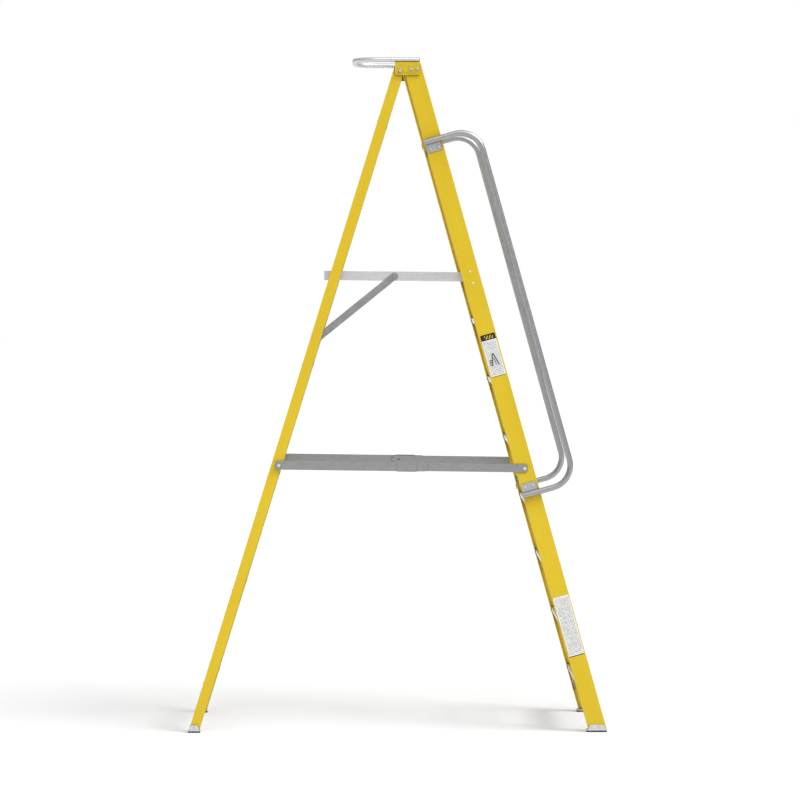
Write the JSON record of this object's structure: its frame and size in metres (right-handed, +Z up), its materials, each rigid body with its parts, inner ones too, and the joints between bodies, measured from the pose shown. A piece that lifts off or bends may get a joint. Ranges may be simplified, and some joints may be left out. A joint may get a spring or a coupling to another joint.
{
  "type": "platform step ladder",
  "caption": "Tall A-frame step ladder with fibreglass rails, ribbed treads, a folding work platform on braces, side handrails, bar spreaders and a guard hoop over the top.",
  "frame": {"origin": "middle of the footprint on the floor", "axes": "+Z up, +X towards the climber in front of the steps, +Y to the climber's left, across the ladder"},
  "size_m": [2.1158, 0.7066, 3.4064],
  "materials": {
    "fibreglass": "satin pultruded fibreglass",
    "yellow_paint": "satin yellow paint",
    "aluminium": "extruded mill finish",
    "tube": "drawn tube, satin",
    "zinc_steel": "zinc plated",
    "rubber": "moulded",
    "nylon": "moulded",
    "grey_plastic": "moulded",
    "sticker": "printed film without lettering"
  },
  "bodies": {
    "front_section": {"front_rail_left": "fibreglass", "front_rail_right": "fibreglass", "step_1": "aluminium", "step_2": "aluminium", "step_3": "aluminium", "step_4": "aluminium", "step_5": "aluminium", "step_6": "aluminium", "step_7": "aluminium", "step_knee_braces": "zinc_steel", "front_rivets": "aluminium", "front_shoe_left": "aluminium", "front_shoe_right": "aluminium", "front_shoe_pads": "rubber", "top_plate_left": "yellow_paint", "top_plate_right": "yellow_paint", "top_bolts": "zinc_steel", "pivot_bolts": "zinc_steel", "guard_hoop": "tube", "tube_end_caps": "grey_plastic", "handrail_left": "tube", "handrail_right": "tube", "handrail_plates": "aluminium", "handrail_backing_plates": "zinc_steel", "handrail_bolts": "zinc_steel", "platform_hinge_brackets": "aluminium", "platform_hinge_pins": "zinc_steel", "spreader_front_pins": "zinc_steel", "rail_stickers": "sticker"},
    "rear_section": {"rear_rail_left": "fibreglass", "rear_rail_right": "fibreglass", "pivot_bushings": "nylon", "rear_horizontal_1": "aluminium", "rear_horizontal_2": "aluminium", "rear_horizontal_3": "aluminium", "rear_horizontal_4": "aluminium", "rear_horizontal_5": "aluminium", "rear_diagonals": "zinc_steel", "rear_rivets": "aluminium", "rear_shoe_left": "aluminium", "rear_shoe_right": "aluminium", "rear_shoe_pads": "rubber", "brace_stops": "zinc_steel", "spreader_rear_pins": "zinc_steel"},
    "platform": {"deck_planks": "aluminium", "platform_skirt_left": "aluminium", "platform_skirt_right": "aluminium", "platform_beams": "aluminium", "brace_pins": "zinc_steel"},
    "platform_brace_left": {"platform_brace_left": "zinc_steel"},
    "platform_brace_right": {"platform_brace_right": "zinc_steel"},
    "slide_block_left": {"slide_block_left": "nylon"},
    "slide_block_right": {"slide_block_right": "nylon"},
    "front_arm_left": {"spreader_front_arm_left": "zinc_steel"},
    "front_arm_right": {"spreader_front_arm_right": "zinc_steel"},
    "rear_arm_left": {"spreader_rear_arm_left": "zinc_steel", "spreader_lock_left": "zinc_steel"},
    "rear_arm_right": {"spreader_rear_arm_right": "zinc_steel", "spreader_lock_right": "zinc_steel"}
  },
  "joints": [
    {"name": "rear_fold", "type": "hinge", "parent": "front_section", "child": "rear_section", "pos_m": [0.01426, 0, 3.337], "axis": [0, -1, 0], "range_deg": [0, 32.5]},
    {"name": "platform_fold", "type": "hinge", "parent": "front_section", "child": "platform", "pos_m": [0.37261, 0, 2.296], "axis": [0, 1, 0], "range_deg": [0, 73.8]},
    {"name": "brace_fold_left", "type": "hinge", "parent": "platform", "child": "platform_brace_left", "pos_m": [-0.01486, 0, 2.30006], "axis": [0, -1, 0], "range_deg": [0, 131.47]},
    {"name": "brace_slide_left", "type": "slide", "parent": "rear_section", "child": "slide_block_left", "axis": [0.2967, 0, 0.955], "range_m": [0, 0.2061]},
    {"name": "front_arm_fold_left", "type": "hinge", "parent": "front_section", "child": "front_arm_left", "pos_m": [0.64197, 0, 1.332], "axis": [0, 1, 0], "range_deg": [0, 73.24]},
    {"name": "rear_arm_fold_left", "type": "hinge", "parent": "rear_section", "child": "rear_arm_left", "pos_m": [-0.59889, 0, 1.349], "axis": [0, -1, 0], "range_deg": [0, 67.34]},
    {"name": "brace_fold_right", "type": "hinge", "parent": "platform", "child": "platform_brace_right", "pos_m": [-0.01486, 0, 2.30006], "axis": [0, -1, 0], "range_deg": [0, 131.47]},
    {"name": "brace_slide_right", "type": "slide", "parent": "rear_section", "child": "slide_block_right", "axis": [0.2967, 0, 0.955], "range_m": [0, 0.2061]},
    {"name": "front_arm_fold_right", "type": "hinge", "parent": "front_section", "child": "front_arm_right", "pos_m": [0.64197, 0, 1.332], "axis": [0, 1, 0], "range_deg": [0, 73.24]},
    {"name": "rear_arm_fold_right", "type": "hinge", "parent": "rear_section", "child": "rear_arm_right", "pos_m": [-0.59889, 0, 1.349], "axis": [0, -1, 0], "range_deg": [0, 67.34]}
  ],
  "couplings": [
    {"joint": "platform_fold", "follows": "rear_fold", "ratio": 2.2704},
    {"joint": "brace_fold_left", "follows": "rear_fold", "ratio": 4.0449},
    {"joint": "brace_slide_left", "follows": "rear_fold", "m_per_rad": 0.3631},
    {"joint": "front_arm_fold_left", "follows": "rear_fold", "ratio": 2.2533},
    {"joint": "rear_arm_fold_left", "follows": "rear_fold", "ratio": 2.0716},
    {"joint": "brace_fold_right", "follows": "rear_fold", "ratio": 4.0449},
    {"joint": "brace_slide_right", "follows": "rear_fold", "m_per_rad": 0.3631},
    {"joint": "front_arm_fold_right", "follows": "rear_fold", "ratio": 2.2533},
    {"joint": "rear_arm_fold_right", "follows": "rear_fold", "ratio": 2.0716}
  ]
}
